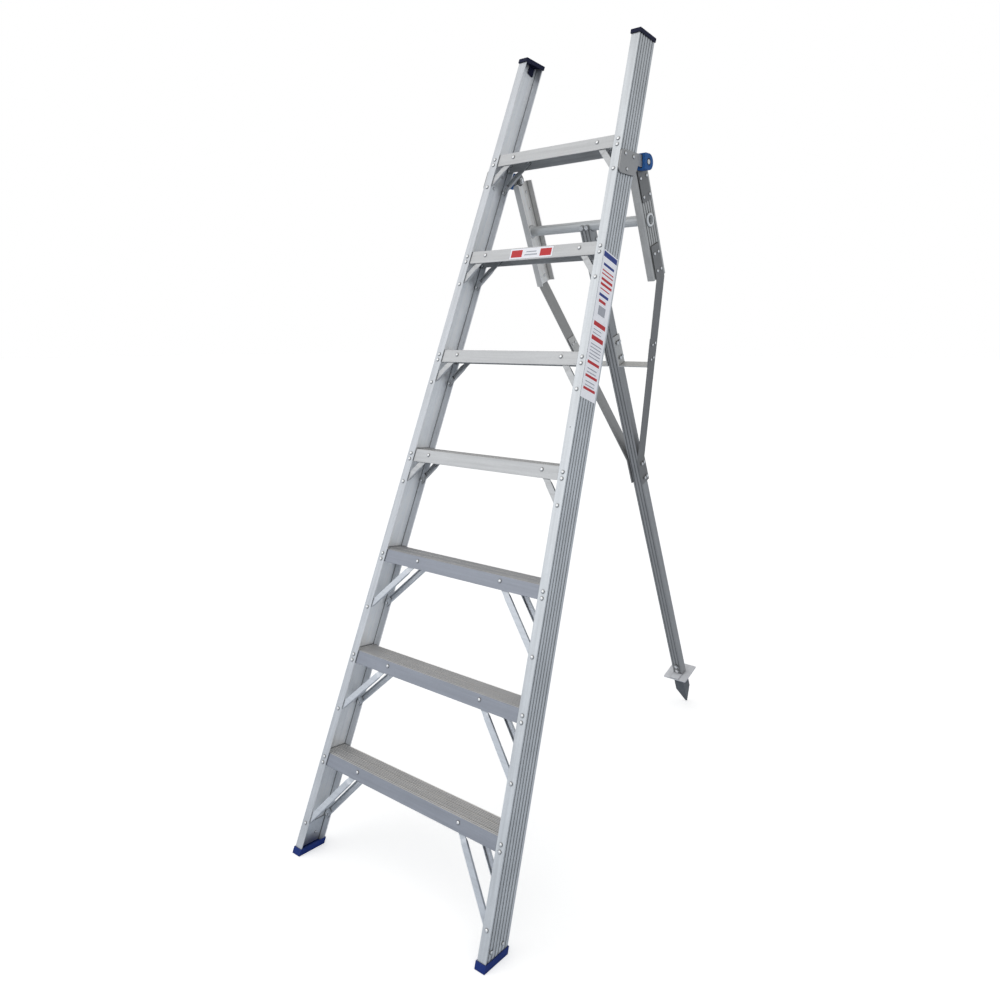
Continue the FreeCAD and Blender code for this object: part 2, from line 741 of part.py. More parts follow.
def make_housing(name, side):
    """Plastic block round the end of the arm, with a rounded rear and a slot for the arm."""
    body = new_body(f"{name}_hinge_housing", Placement(hinge_point(), Rotation()))
    width = S.housing_outer - S.housing_inner
    middle = side * (S.housing_outer + S.housing_inner) / 2
    radius = S.housing_radius
    sketch = new_sketch(body, "YZ_Plane", middle)
    front = -S.housing_front
    draw_outline(sketch, [(front, -radius), (radius, -radius), (radius, radius), (front, radius)])
    pad(body, sketch, width, symmetric=True)
    round_corners(body, [(radius, -radius), (radius, radius)], radius - 0.5, (1, 2))
    round_corners(body, [(front, -radius), (front, radius)], Size(3), (1, 2))
    slot_middle = side * (S.half_base - S.hinge_along * tangent(S.taper) + S.plate / 2)
    slot = new_sketch(body, "YZ_Plane", slot_middle)
    reach = S.arm_half + S.slot_gap
    draw_outline(slot, [(2 * front, -reach), (reach, -reach), (reach, reach), (2 * front, reach)])
    cut(body, slot, S.plate + 1.5 * S.slot_gap)
    drill(body, "YZ_Plane", [(0, 0)], S.pivot + 2 * FASTENER_GAP, 4 * width, middle)
    drill(body, "YZ_Plane", [(0, 0)], S.recess, 2 * S.recess_depth, side * S.housing_outer)
    return body


# ---------------------------------------------------------------- rear frame

STRAP_RIVETS = ((-16.0, -38.0), (18.0, -38.0), (-16.0, -90.0), (18.0, -90.0))
DIAGONAL_RIVETS = ((-11.0, -254.0), (11.0, -254.0), (-11.0, -305.0), (11.0, -305.0))
DIAGONAL_BOLTS = ((-5.0, -985.0), (8.0, -985.0), (-5.0, -1041.0), (8.0, -1041.0))
CROSS_BOLTS = ((-5.0, -536.0), (8.0, -536.0), (-5.0, -587.0), (8.0, -587.0))
CROSS_RIVETS = ((-8.0, -540.0), (8.0, -540.0), (-8.0, -590.0), (8.0, -590.0))
HEAD_RIVETS = ((4.0, -200.0), (4.0, -235.0))
FOOT_BOLTS = ((0.0, -1914.0), (0.0, -1936.0))
LEG_BOLT_ACROSS = 9.0
LEG_BOLT = 8.0
SMALL_BOLT = 6.0


def make_rear_channel(name, side):
    body = new_body(f"{name}_rear_channel", rear_frame() * move(side * S.rear_half, 0, 0))
    sketch = new_sketch(body, "XY_Plane", -S.rear_bottom)
    near = -S.rear_depth / 2
    draw_outline(sketch, fluted_channel(side, S.rear_flange, S.rear_depth, S.wall, near, REAR_FLUTES))
    pad(body, sketch, S.rear_bottom - S.rear_top)
    drill(body, "YZ_Plane", [(0, -S.tube_down)], S.tube + 2 * FASTENER_GAP, 4 * S.wall)
    drill(body, "YZ_Plane", [(0, 0)], Size(30), 4 * S.wall)
    drill(body, "YZ_Plane", STRAP_RIVETS + DIAGONAL_RIVETS, S.hole, 4 * S.wall)
    return body


def make_hinge_strap(name, side):
    body = new_body(f"{name}_hinge_strap", rear_frame() * move(side * S.rear_half, 0, 0))
    half = S.strap_width / 2
    sketch = new_sketch(body, "YZ_Plane")
    draw_outline(sketch, [(-half, -S.strap_end), (half, -S.strap_end), (half, half), (-half, half)])
    pad(body, sketch, S.strap, reverse=side < 0)
    round_corners(body, [(-half, half), (half, half)], half - 0.5, (1, 2))
    round_corners(body, [(-half, -S.strap_end), (half, -S.strap_end)], Size(3), (1, 2))
    drill(body, "YZ_Plane", STRAP_RIVETS, S.hole, 4 * S.strap)
    drill(body, "YZ_Plane", [(0, 0)], S.pivot + 2 * S.running, 4 * S.strap)
    return body


def make_cross_tube():
    """Tube through both rear channels, swaged out on each side of each web."""
    along_x = Placement(Vector(0, 0, -S.tube_down.number), turn(Y_AXIS, 90))
    body = new_body("cross_tube", rear_frame() * along_x)
    outside, inside, bead = S.tube / 2, S.bore / 2, S.bead / 2
    outer_face = S.rear_half
    inner_face = S.rear_half - S.wall
    half = [(outside, inner_face - 7), (bead - 1.5, inner_face - 4.5), (bead - 1, inner_face - FASTENER_GAP),
            (outside, inner_face - FASTENER_GAP), (outside, outer_face + FASTENER_GAP),
            (bead, outer_face + FASTENER_GAP), (bead, outer_face + 2), (bead - 2.5, outer_face + 4),
            (inside + 1.5, outer_face + 4)]
    lower = [(radius, -height) for radius, height in reversed(half)]
    corners = lower + half + [(inside, outer_face - 4), (inside, 4 - outer_face)]
    revolve(body, corners)
    drill(body, "XZ_Plane", [(0, -LEG_BOLT_ACROSS), (0, LEG_BOLT_ACROSS)], LEG_BOLT + 0.4, 3 * S.tube)
    return body


def make_leg():
    """Single rear leg: a channel with its grooved web in front and its flanges to the rear."""
    front = Vector(0, -S.leg_depth.number / 2, 0)
    body = new_body("rear_leg", rear_frame() * Placement(front, turn(Z_AXIS, -90)))
    sketch = new_sketch(body, "XY_Plane", -S.leg_end)
    near = -S.leg_width / 2
    draw_outline(sketch, fluted_channel(1, S.leg_depth, S.leg_width, S.leg_wall, near, LEG_FLUTES))
    pad(body, sketch, S.leg_end - S.tube_down)
    drill(body, "XZ_Plane", [(-S.leg_depth / 2, -S.tube_down)], S.tube + 2 * FASTENER_GAP, 2 * S.leg_width)
    bolts = [(-S.leg_depth / 2 - y, z) for y, z in DIAGONAL_BOLTS + CROSS_BOLTS]
    drill(body, "XZ_Plane", bolts, SMALL_BOLT + 2 * FASTENER_GAP, 2 * S.leg_width)
    rivets = [(-S.leg_depth / 2 - y, z) for y, z in HEAD_RIVETS]
    drill(body, "XZ_Plane", rivets, S.hole, 2 * S.leg_width)
    drill(body, "YZ_Plane", FOOT_BOLTS, LEG_BOLT + 2 * FASTENER_GAP, 4 * S.leg_wall)
    return body


def head_bracket_back():
    """Front face of the head bracket's back, which lies against the rear of the tube."""
    return S.tube / 2 + FASTENER_GAP


def make_head_bracket():
    """Channel nested in the top of the leg, whose back carries on up behind the cross tube."""
    body = new_body("leg_head_bracket", rear_frame())
    half = S.leg_width / 2 - S.leg_wall - S.fit
    inner = half - S.bracket
    back, front = head_bracket_back(), -S.head_bracket_front
    section = [(-half, back + S.bracket), (-half, front), (-inner, front), (-inner, back),
               (inner, back), (inner, front), (half, front), (half, back + S.bracket)]
    sketch = new_sketch(body, "XY_Plane", -S.head_bracket_end)
    draw_outline(sketch, section)
    pad(body, sketch, S.head_bracket_end - S.head_bracket_top)
    clear = S.tube_down + S.tube / 2 + S.bracket
    notch = new_sketch(body, "YZ_Plane")
    draw_outline(notch, [(2 * front, -clear), (back, -clear), (back, Size(0)), (2 * front, Size(0))])
    cut(body, notch, 2 * S.leg_width)
    drill(body, "XZ_Plane", tube_bolt_places(), LEG_BOLT + 2 * FASTENER_GAP, 60)
    drill(body, "YZ_Plane", HEAD_RIVETS, S.hole, 2 * S.leg_width)
    return body


def tube_bolt_places():
    return [(side * LEG_BOLT_ACROSS, -S.tube_down) for side in (-1, 1)]


def diagonal_run():
    return S.rear_half - S.leg_width / 2


def diagonal_fall():
    return S.diagonal_meet - S.diagonal_bend


def diagonal_length():
    return root_of_squares(diagonal_run(), diagonal_fall())


def diagonal_inside(height):
    """Inner face of a diagonal strap from the centre line, at a height above the hinge axis."""
    return S.rear_half + diagonal_run() / diagonal_fall() * (height + S.diagonal_bend)


def drill_diagonal(body, side, centres, length):
    """Holes square to the sloping face of a diagonal strap, given as (behind, height) places."""
    run, fall, slope = diagonal_run(), diagonal_fall(), diagonal_length()
    sketch = new_sketch(body, "YZ_Plane")
    tilt = side * math.degrees(math.atan2(run.number, fall.number))
    origin = Vector(0, -S.diagonal_bend.number, side * S.rear_half.number)
    sketch.AttachmentOffset = Placement(origin, Rotation(X_AXIS, tilt))
    down = [(y, (height + S.diagonal_bend) * slope / fall) for y, height in centres]
    draw_circles(sketch, down, S.hole)
    return cut(body, sketch, length)


def make_diagonal(name, side):
    """Flat strap from the outside of a rear channel to the side of the leg."""
    body = new_body(f"{name}_diagonal_strap", rear_frame())
    run, fall, slope = diagonal_run(), diagonal_fall(), diagonal_length()
    leg_half = S.leg_width / 2
    mitre = S.strap * run / (slope + fall)
    inside = [(S.rear_half, -S.diagonal_top), (S.rear_half, -S.diagonal_bend),
              (leg_half, -S.diagonal_meet), (leg_half, -S.diagonal_end)]
    outside = [(leg_half + S.strap, -S.diagonal_end), (leg_half + S.strap, -S.diagonal_meet - mitre),
               (S.rear_half + S.strap, -S.diagonal_bend - mitre), (S.rear_half + S.strap, -S.diagonal_top)]
    sketch = new_sketch(body, "XZ_Plane")
    draw_outline(sketch, [(side * x, z) for x, z in inside + outside])
    pad(body, sketch, S.diagonal_width, symmetric=True)
    drill(body, "YZ_Plane", DIAGONAL_RIVETS, S.hole, 4 * S.strap, side * S.rear_half)
    drill(body, "YZ_Plane", DIAGONAL_BOLTS, SMALL_BOLT + 2 * FASTENER_GAP, 4 * S.strap, side * leg_half)
    drill_diagonal(body, side, CROSS_RIVETS, 4 * S.strap)
    return body


def make_cross_strap(name, side):
    """U-shaped strap: one ear on the leg, a level run, and one ear inside the diagonal."""
    body = new_body(f"{name}_cross_strap", rear_frame())
    slope, fall, run = diagonal_length(), diagonal_fall(), diagonal_run()
    leg_half = S.leg_width / 2
    ear_top = -S.cross_ear
    inner_level = S.strap - S.cross_level
    side_step = S.strap * slope / fall
    corners = [(leg_half, -S.cross_top), (leg_half, -S.cross_level),
               (diagonal_inside(-S.cross_level), -S.cross_level), (diagonal_inside(ear_top), ear_top),
               (diagonal_inside(ear_top) - S.strap * fall / slope, ear_top + S.strap * run / slope),
               (diagonal_inside(inner_level) - side_step, inner_level),
               (leg_half + S.strap, inner_level), (leg_half + S.strap, -S.cross_top)]
    sketch = new_sketch(body, "XZ_Plane")
    draw_outline(sketch, [(side * x, z) for x, z in corners])
    pad(body, sketch, S.cross_width, symmetric=True)
    drill(body, "YZ_Plane", CROSS_BOLTS, SMALL_BOLT + 2 * FASTENER_GAP, 4 * S.strap, side * leg_half)
    drill_diagonal(body, side, CROSS_RIVETS, 4 * S.strap)
    return body


# ---------------------------------------------------------------- foot of the rear leg

def make_foot_bracket():
    """Angle bolted inside the end of the leg, with a flange that lies on the foot plate."""
    body = new_body("leg_foot_bracket", rear_frame())
    front = S.leg_wall - S.leg_depth / 2 + FASTENER_GAP
    end = -S.leg_end
    corners = [(front, -S.foot_bracket_top), (front + S.bracket, -S.foot_bracket_top),
               (front + S.bracket, end), (S.leg_depth / 2, end), (S.leg_depth / 2, end - S.bracket),
               (2 - S.foot_plate / 2, end - S.bracket), (2 - S.foot_plate / 2, end), (front, end)]
    sketch = new_sketch(body, "YZ_Plane")
    draw_outline(sketch, corners)
    pad(body, sketch, S.leg_width - 2 * S.leg_wall - 2 * S.fit, symmetric=True)
    drill(body, "XZ_Plane", FOOT_BOLTS, LEG_BOLT + 2 * FASTENER_GAP, 6 * S.bracket, -front)
    return body


def make_leg_foot_plate():
    body = new_body("leg_foot_plate", rear_frame())
    half = S.foot_plate / 2
    sketch = new_sketch(body, "XY_Plane", -S.leg_end - S.bracket)
    draw_outline(sketch, [(-half, -half), (half, -half), (half, half), (-half, half)])
    pad(body, sketch, S.foot_sheet, reverse=True)
    round_corners(body, [(x, y) for x in (-half, half) for y in (-half, half)], Size(4), (0, 1))
    return body


def make_spike():
    """Hollow square shank under the foot plate, drawn out to a blunt point that meets the ground."""
    top = S.leg_end + S.bracket + S.foot_sheet
    half, blunt = S.spike / 2, S.tip / 2
    hollow = S.spike - 2 * S.bracket
    length = S.spike_shoulder - top
    corner = rear_frame() * move(-half, -half, -S.spike_shoulder)
    shank = box("spike_shank", (S.spike, S.spike, length), corner)
    inside = rear_frame() * move(-hollow / 2, -hollow / 2, -S.spike_shoulder)
    tube = cut_away("spike_tube", shank, box("spike_bore", (hollow, hollow, length + 1), inside))
    point = doc.addObject("Part::Wedge", "spike_point")
    hinge_height = S.hinge_along * cosine(S.front_lean) - S.hinge_behind * sine(S.front_lean)
    reach = hinge_height / cosine(S.rear_lean) + S.spike / 10
    for name, size in (("Xmin", -half), ("Xmax", half), ("Zmin", -half), ("Zmax", half),
                       ("X2min", -blunt), ("X2max", blunt),
                       ("Z2min", S.tip_behind - blunt), ("Z2max", S.tip_behind + blunt),
                       ("Ymin", Size(0)), ("Ymax", reach - S.spike_shoulder)):
        bind(point, name, size)
    axes = Rotation(X_AXIS, -Z_AXIS, Y_AXIS, "XYZ")
    point.Placement = rear_frame() * Placement(Vector(0, 0, -S.spike_shoulder.number), axes)
    whole = doc.addObject("Part::Fuse", "spike_whole")
    whole.Base = tube
    whole.Tool = point
    return common("foot_spike", whole, level_slab("spike_reach", Size(0), Size(400)))


# ---------------------------------------------------------------- fasteners, in groups

def front_skin(height, facing_y, across, inside=0):
    """A fastener place on the front (1) or rear (-1) skin of the front frame."""
    behind = inside if facing_y > 0 else S.stile_depth - inside
    return facing((across, behind, height), Vector(0, -facing_y, 0), front_frame())


def make_tread_rivets(pattern):
    places = []
    for tread in range(1, TREADS + 1):
        for rise, facing_y in ((Size(0), 1), (rear_rise(), -1)):
            for step in (-1, 1):
                height = tread_place(tread) + rise + step * S.rivet_half_pitch
                for side in (-1, 1):
                    places.append(front_skin(height, facing_y, side * rivet_line(height)))
    return copies("tread_rivets", pattern, places)


def make_brace_rivets(on_tread, on_stile):
    places = {"brace_rivets_on_treads": [], "brace_rivets_on_stiles": []}
    _, upper, lower = brace_places(range(1, TREADS + 1))
    for across, height, facing_y in upper:
        places["brace_rivets_on_treads"].append(front_skin(height, facing_y, across, S.wall))
    for across, height, facing_y in lower:
        places["brace_rivets_on_stiles"].append(front_skin(height, facing_y, across))
    copies("brace_rivets_on_treads", on_tread, places["brace_rivets_on_treads"])
    copies("brace_rivets_on_stiles", on_stile, places["brace_rivets_on_stiles"])


def across_frame(places, frame_of_side, offset):
    """Fastener places on both sides, with their heads facing outward; places are (behind, up)."""
    found = []
    for side in (-1, 1):
        for y, z in places:
            found.append(facing((side * offset, y, z), Vector(side, 0, 0), frame_of_side(side)))
    return found


def diagonal_face(places, offset):
    """Fastener places square to the outer face of each diagonal strap."""
    run, fall, slope = diagonal_run().number, diagonal_fall().number, diagonal_length().number
    found = []
    for side in (-1, 1):
        outward = Vector(side * fall / slope, 0, -run / slope)
        for y, z in places:
            base = Vector(side * diagonal_inside(as_size(z)).number, y, z)
            found.append(facing(tuple(base + outward * offset.number), outward, rear_frame()))
    return found


def rear_side(_):
    return rear_frame()


def level_hinge(_):
    """Level axes at the hinge, the same on both sides."""
    return Placement(hinge_point(), Rotation())


def make_fasteners():
    rear_web = S.rear_half + S.strap
    leg_side = S.leg_width / 2 + S.strap

    make_tread_rivets(rivet("tread_rivet", S.wall + S.sheet))
    make_brace_rivets(rivet("upper_brace_rivet", 2 * S.sheet), rivet("lower_brace_rivet", S.wall + S.sheet))
    foot = rivet("foot_rivet", 2 * S.wall)
    copies("stile_foot_rivets", foot, across_frame(FOOT_RIVETS, stile_frame, Size(0)))
    plate = rivet("plate_rivet", S.plate + S.wall)
    copies("bracket_rivets", plate, across_frame(BRACKET_RIVETS, hinge_frame, S.plate))
    strap = rivet("strap_rivet", S.strap + S.wall)
    copies("strap_rivets", strap, across_frame(STRAP_RIVETS, rear_side, rear_web))
    copies("diagonal_rivets", strap, across_frame(DIAGONAL_RIVETS, rear_side, rear_web))
    copies("cross_strap_rivets", rivet("cross_rivet", 2 * S.strap), diagonal_face(CROSS_RIVETS, S.strap))
    head = rivet("head_rivet", S.leg_wall + S.fit + S.bracket)
    copies("head_bracket_rivets", head, across_frame(HEAD_RIVETS, rear_side, S.leg_width / 2))

    small_grip = S.strap + S.leg_wall
    small_bolt = hex_bolt("small_bolt", SMALL_BOLT, 10, 4, small_grip + 7, 1.2)
    small_nut = hex_nut("small_nut", SMALL_BOLT, 10, 5, 1.2)
    places = DIAGONAL_BOLTS + CROSS_BOLTS
    copies("leg_strap_bolts", small_bolt, across_frame(places, rear_side, leg_side))
    copies("leg_strap_nuts", small_nut, across_frame(places, rear_side, leg_side - small_grip))

    tube_grip = S.tube / 2 + head_bracket_back() + S.bracket
    forward = Vector(0, -1, 0)
    tube_bolt = hex_bolt("tube_bolt", LEG_BOLT, 13, 5.3, tube_grip + 9, 1.6)
    copies("tube_bolts", tube_bolt,
           [facing((x, -S.tube / 2, z), forward, rear_frame()) for x, z in tube_bolt_places()])
    leg_nut = hex_nut("leg_nut", LEG_BOLT, 13, 6.5, 1.6)
    copies("tube_bolt_nuts", leg_nut,
           [facing((x, tube_grip - S.tube / 2, z), forward, rear_frame()) for x, z in tube_bolt_places()])

    foot_grip = S.leg_wall + FASTENER_GAP + S.bracket
    foot_bolt = hex_bolt("foot_bolt", LEG_BOLT, 13, 5.3, foot_grip + 9, 1.6)
    web = -S.leg_depth / 2
    copies("leg_foot_bolts", foot_bolt, [facing((x, web, z), forward, rear_frame()) for x, z in FOOT_BOLTS])
    copies("leg_foot_nuts", leg_nut,
           [facing((x, web + foot_grip, z), forward, rear_frame()) for x, z in FOOT_BOLTS])

    nut_face = S.rear_half - 2 * FASTENER_GAP
    seat = S.housing_outer - S.recess_depth + FASTENER_GAP
    pivot_bolt = hex_bolt("pivot_bolt", S.pivot, 13, 5.5, seat - nut_face + 13, 1.2)
    copies("pivot_bolts", pivot_bolt, across_frame([(0, 0)], level_hinge, seat))
    pivot_nut = hex_nut("pivot_nut", S.pivot, 17, 8, 2.2)
    copies("pivot_nuts", pivot_nut, across_frame([(0, 0)], level_hinge, nut_face))


# ---------------------------------------------------------------- the whole ladder

def build():
    for name, side in SIDES.items():
        make_stile(name, side)
        make_shoe(name, side)
        make_cap(name, side)
        make_foot_plate(name, side)
        make_bracket(name, side)
        make_housing(name, side)
        make_rear_channel(name, side)
        make_hinge_strap(name, side)
        make_diagonal(name, side)
        make_cross_strap(name, side)
    for tread in range(1, TREADS + 1):
        make_tread(tread)
    short = make_brace("short_brace", S.short_run, S.short_drop, S.brace_width)
    copies("short_braces", short, brace_places(SHORT_BRACE_TREADS)[0])
    long = make_brace("long_brace", S.long_run, S.long_drop, S.brace_width)
    copies("long_braces", long, brace_places(LONG_BRACE_TREADS)[0])
    bottom = make_brace("bottom_brace", S.bottom_run, S.bottom_drop, S.bottom_width)
    copies("bottom_braces", bottom, brace_places([1])[0])
    make_cross_tube()
    make_leg()
    make_head_bracket()
    make_foot_bracket()
    make_leg_foot_plate()
    make_spike()
    make_fasteners()
    doc.recompute()


NODES = [f"{name}_{part}" for name in SIDES for part in (
    "stile", "foot", "top_cap", "foot_plate", "hinge_bracket", "hinge_housing",
    "rear_channel", "hinge_strap", "diagonal_strap", "cross_strap")]
NODES += [f"tread_{tread}" for tread in range(1, TREADS + 1)]
NODES += ["short_braces", "long_braces", "bottom_braces", "cross_tube", "rear_leg", "leg_head_bracket",
          "leg_foot_bracket", "leg_foot_plate", "foot_spike", "tread_rivets", "brace_rivets_on_treads",
          "brace_rivets_on_stiles", "stile_foot_rivets", "bracket_rivets", "strap_rivets", "diagonal_rivets",
          "cross_strap_rivets", "head_bracket_rivets", "leg_strap_bolts", "leg_strap_nuts", "tube_bolts",
          "tube_bolt_nuts", "leg_foot_bolts", "leg_foot_nuts", "pivot_bolts", "pivot_nuts"]


def export():
    """Stop on any failed feature, then write one file for each sub-part."""
    for feature in doc.Objects:
        if "Invalid" in feature.State or "Error" in feature.State:
            raise RuntimeError(f"{feature.Name} ({feature.Label}) is {feature.State}")
    os.makedirs("parts", exist_ok=True)
    by_label = {feature.Label: feature for feature in doc.Objects}
    for node in NODES:
        shape = by_label[node].Shape
        if shape.isNull() or not shape.isValid() or not shape.Solids:
            raise RuntimeError(f"{node} has no valid solid")
        shape.exportStep(f"parts/{node}.step")


build()
export()
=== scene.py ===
import json
import math

import bmesh
import bpy
from mathutils import Matrix, Vector


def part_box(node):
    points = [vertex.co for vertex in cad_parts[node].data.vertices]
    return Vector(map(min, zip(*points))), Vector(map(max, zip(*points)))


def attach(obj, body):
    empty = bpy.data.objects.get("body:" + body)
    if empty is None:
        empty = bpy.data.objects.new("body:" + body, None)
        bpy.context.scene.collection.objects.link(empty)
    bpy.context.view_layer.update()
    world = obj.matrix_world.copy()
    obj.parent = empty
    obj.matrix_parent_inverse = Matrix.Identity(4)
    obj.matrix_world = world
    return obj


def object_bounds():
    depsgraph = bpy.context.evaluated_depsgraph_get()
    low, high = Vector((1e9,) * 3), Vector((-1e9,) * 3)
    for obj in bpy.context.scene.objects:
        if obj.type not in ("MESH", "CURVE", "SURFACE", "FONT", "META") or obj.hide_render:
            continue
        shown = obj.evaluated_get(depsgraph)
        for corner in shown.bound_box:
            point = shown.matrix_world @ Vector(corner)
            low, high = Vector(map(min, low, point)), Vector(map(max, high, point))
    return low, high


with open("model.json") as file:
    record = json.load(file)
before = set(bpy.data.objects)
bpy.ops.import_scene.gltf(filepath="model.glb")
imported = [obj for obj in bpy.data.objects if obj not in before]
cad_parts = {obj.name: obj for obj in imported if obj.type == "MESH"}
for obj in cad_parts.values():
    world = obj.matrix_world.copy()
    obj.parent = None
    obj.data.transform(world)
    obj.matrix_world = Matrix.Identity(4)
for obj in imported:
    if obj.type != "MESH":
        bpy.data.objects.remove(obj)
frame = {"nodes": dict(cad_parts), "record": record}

# Orchard tripod ladder: finishes, labels, floor, light and camera round the CAD frame, in metres.

cad_low, cad_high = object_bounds()
CENTRE = (cad_low + cad_high) / 2
NODES = frame["nodes"]
SLOT_OF = {row["node"]: row["material_slot"] for row in frame["record"]["subparts"]}
MM = 0.001
ACROSS = Vector((1, 0, 0))
UPWARD = Vector((0, 0, 1))

# ---------------------------------------------------------------- directions, from the CAD boxes


def middle(node):
    low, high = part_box(node)
    return (low + high) / 2


def unit(x, y, z):
    return Vector((x, y, z)).normalized()


first_tread, last_tread = middle("tread_1"), middle("tread_7")
rise = last_tread - first_tread
UP_FRONT = unit(0, rise.y, rise.z)
narrowing = (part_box("tread_1")[1].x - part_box("tread_7")[1].x) / rise.length
UP_STILE = {side: (UP_FRONT - Vector((sign * narrowing, 0, 0))).normalized()
            for side, sign in (("left", -1), ("right", 1))}
leg_fall = middle("leg_foot_plate") - middle("cross_tube")
DOWN_REAR = unit(0, leg_fall.y, leg_fall.z)
OUT_REAR = unit(0, DOWN_REAR.z, -DOWN_REAR.y)
OUT_FRONT = unit(0, -UP_FRONT.z, UP_FRONT.y)


def strap_direction(side):
    """A diagonal strap runs in to the leg as it goes down."""
    low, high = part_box(f"{side}_diagonal_strap")
    return (DOWN_REAR * (high.z - low.z) - ACROSS * (low.x + high.x)).normalized()


# The rolling direction of a piece, or the axis of a fastener; the others run across the ladder.
GRAIN = {
    "left_stile": UP_STILE["left"], "right_stile": UP_STILE["right"],
    "rear_leg": DOWN_REAR, "left_rear_channel": DOWN_REAR, "right_rear_channel": DOWN_REAR,
    "left_hinge_strap": DOWN_REAR, "right_hinge_strap": DOWN_REAR,
    "left_diagonal_strap": strap_direction("left"), "right_diagonal_strap": strap_direction("right"),
    "leg_head_bracket": DOWN_REAR, "leg_foot_bracket": DOWN_REAR, "foot_spike": DOWN_REAR,
    "tread_rivets": OUT_FRONT, "brace_rivets_on_treads": OUT_FRONT, "brace_rivets_on_stiles": OUT_FRONT,
    "tube_bolts": OUT_REAR, "tube_bolt_nuts": OUT_REAR,
    "leg_foot_bolts": OUT_REAR, "leg_foot_nuts": OUT_REAR,
}

# ---------------------------------------------------------------- materials


class Graph:
    """The nodes of a material or world, built in small named steps."""

    def __init__(self, owner):
        owner.use_nodes = True
        self.owner = owner
        self.tree = owner.node_tree
        self.tree.nodes.clear()
        places = self.add("ShaderNodeTexCoord")
        self.coordinates = places.outputs["Object"]
        self.direction = places.outputs["Generated"]

    @classmethod
    def of_material(cls, name):
        return cls(bpy.data.materials.new(name))

    def add(self, kind, inputs=None, **settings):
        node = self.tree.nodes.new(kind)
        for key, value in settings.items():
            setattr(node, key, value)
        for key, value in (inputs or {}).items():
            if isinstance(value, bpy.types.NodeSocket):
                self.tree.links.new(value, node.inputs[key])
            else:
                node.inputs[key].default_value = value
        return node

    def aligned(self, grain, scale):
        """Coordinates with Z along the grain, then scaled."""
        side = grain.cross(Vector((0.31, 0.87, 0.39))).normalized()
        axes = Matrix((side, grain.cross(side), grain))
        turned = self.add("ShaderNodeMapping", {"Vector": self.coordinates, "Rotation": axes.to_euler()})
        stretched = self.add("ShaderNodeMapping", {"Vector": turned.outputs[0], "Scale": scale})
        return stretched.outputs[0]

    def noise(self, vector, scale, detail=3.0, roughness=0.55, distortion=0.0):
        node = self.add("ShaderNodeTexNoise", {
            "Vector": vector, "Scale": scale, "Detail": detail, "Roughness": roughness,
            "Distortion": distortion})
        return node.outputs["Fac"]

    def spread(self, value, low, high, start=0.3, end=0.7, **settings):
        """Map a value from start..end, which is where most noise lies, to low..high."""
        node = self.add("ShaderNodeMapRange", {
            "Value": value, "From Min": start, "From Max": end, "To Min": low, "To Max": high}, **settings)
        return node.outputs[0]

    def math(self, operation, first, second=0.0):
        node = self.add("ShaderNodeMath", {0: first, 1: second}, operation=operation)
        return node.outputs[0]

    def tint(self, colour, factor):
        """Multiply a colour by a grey value."""
        start = colour if isinstance(colour, bpy.types.NodeSocket) else colour[:3]
        node = self.add("ShaderNodeVectorMath", {0: start}, operation="SCALE")
        if isinstance(factor, bpy.types.NodeSocket):
            self.tree.links.new(factor, node.inputs["Scale"])
        else:
            node.inputs["Scale"].default_value = factor
        return node.outputs[0]

    def mix(self, factor, first, second):
        node = self.add("ShaderNodeMix", data_type="RGBA")
        for key, value in ((0, factor), (6, first), (7, second)):
            if isinstance(value, bpy.types.NodeSocket):
                self.tree.links.new(value, node.inputs[key])
            else:
                node.inputs[key].default_value = value
        return node.outputs[2]

    def bump(self, height, strength, distance, normal=None):
        inputs = {"Height": height, "Strength": strength, "Distance": distance}
        if normal is not None:
            inputs["Normal"] = normal
        return self.add("ShaderNodeBump", inputs).outputs[0]

    def rounded(self, radius):
        """Normals of edges rounded to a small radius, and how near an edge a place is."""
        normal = self.add("ShaderNodeBevel", {"Radius": radius}, samples=4).outputs[0]
        flat = self.add("ShaderNodeNewGeometry").outputs["Normal"]
        edge = self.spread(self.math("SUBTRACT", 1.0, self.dot(normal, flat)), 0.0, 1.0, 0.02, 0.3)
        return normal, edge

    def painted_shade(self, distance, darkest, start=0.3, end=0.95):
        """Painted shade: 1 on open faces, falling to the darkest value in corners and grooves."""
        node = self.add("ShaderNodeAmbientOcclusion", {"Distance": distance}, samples=4)
        return self.spread(node.outputs["AO"], darkest, 1.0, start, end)

    def dot(self, first, second):
        node = self.add("ShaderNodeVectorMath", {0: first, 1: second}, operation="DOT_PRODUCT")
        return node.outputs["Value"]

    def facing(self, direction):
        """Cosine of the angle between the surface's normal and a direction."""
        return self.dot(self.add("ShaderNodeNewGeometry").outputs["Normal"], direction)

    def finish(self, colour, metallic, roughness, normal, **extra):
        inputs = {"Base Color": colour, "Metallic": metallic, "Roughness": roughness, "Normal": normal}
        inputs.update(extra)
        surface = self.add("ShaderNodeBsdfPrincipled", inputs)
        self.add("ShaderNodeOutputMaterial", {"Surface": surface.outputs[0]})
        return self.owner


def rgba(colour):
    return (*colour, 1.0)


